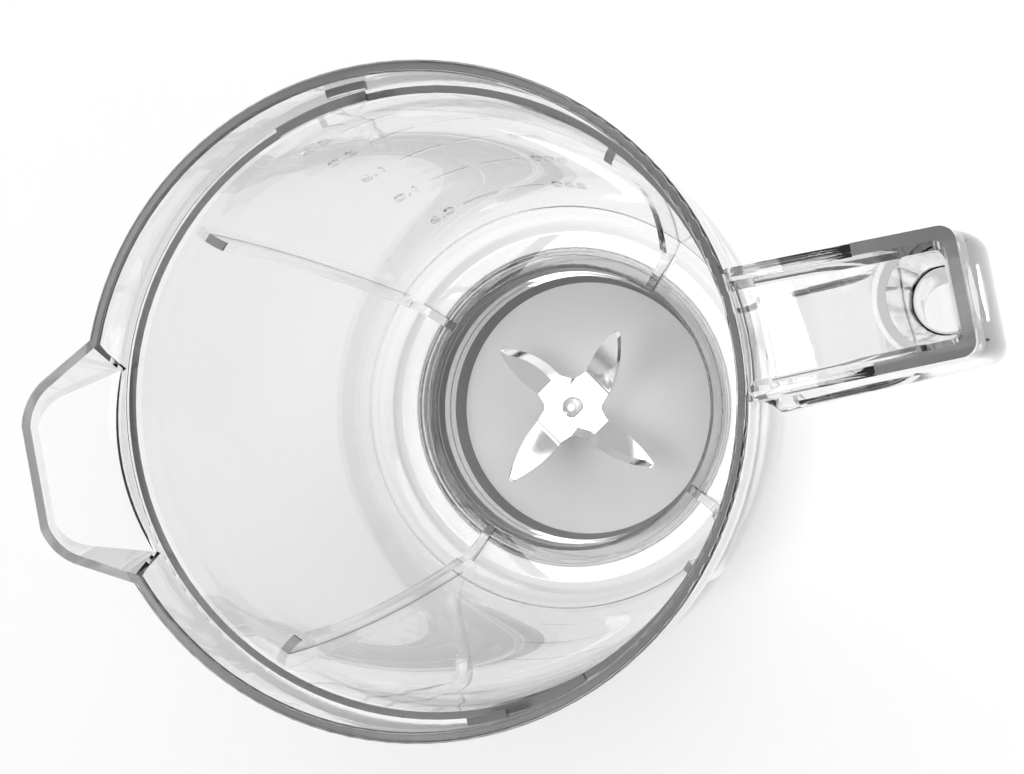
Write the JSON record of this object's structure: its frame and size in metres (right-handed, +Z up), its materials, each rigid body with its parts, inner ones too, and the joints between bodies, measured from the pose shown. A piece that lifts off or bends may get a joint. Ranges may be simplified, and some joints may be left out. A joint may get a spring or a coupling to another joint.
{
  "type": "blending jug with blade unit",
  "caption": "Clear blending jug with spout and hollow loop handle, four inner ribs, and a screw-in unit with a four-wing steel blade on a sealed bearing.",
  "frame": {"origin": "on the jug's axis, in the plane that the foot ring stands on", "axes": "+Z up along the jug's axis, +X towards the handle, -X towards the spout"},
  "size_m": [0.1898, 0.132, 0.211],
  "materials": {
    "clear_plastic": "clear, polished",
    "grey_plastic": "satin, light grey",
    "white_plastic": "white, semi-gloss",
    "black_plastic": "glass-filled, dark",
    "seal_rubber": "dark grey silicone",
    "foot_rubber": "light grey, soft",
    "blade_steel": "polished stainless",
    "steel": "turned stainless",
    "bronze": "sintered bronze",
    "felt": "oiled felt"
  },
  "bodies": {
    "blade_unit": {"blade_holder": "grey_plastic", "bearing_housing": "steel", "upper_bush": "bronze", "lower_bush": "bronze", "oil_felt": "felt", "shaft_seal": "seal_rubber", "seal_cap": "steel", "jug_seal": "seal_rubber", "collar_gasket": "seal_rubber"},
    "collar": {"base_collar": "white_plastic", "base_foot_ring": "foot_rubber"},
    "jug": {"jug_body": "clear_plastic"},
    "rotor": {"blade_shaft": "steel", "blade": "blade_steel", "blade_spacer": "steel", "blade_washer": "bronze", "lower_thrust_washer": "steel", "circlip": "steel", "coupling_insert": "bronze", "drive_coupling": "black_plastic", "coupling_washer": "steel", "coupling_screw": "steel"}
  },
  "joints": [
    {"name": "collar_turn", "type": "hinge", "parent": "blade_unit", "child": "collar", "pos_m": [0, 0, 0.02], "axis": [0, 0, -1], "range_deg": [0, 540]},
    {"name": "jug_lift", "type": "slide", "parent": "blade_unit", "child": "jug", "axis": [0, 0, 1], "range_m": [0, 0.0091]},
    {"name": "blade_spin", "type": "hinge", "parent": "blade_unit", "child": "rotor", "pos_m": [0, 0, 0.03], "axis": [0, 0, 1], "continuous": true}
  ],
  "couplings": [
    {"joint": "jug_lift", "follows": "collar_turn", "m_per_rad": 0.00095493}
  ]
}
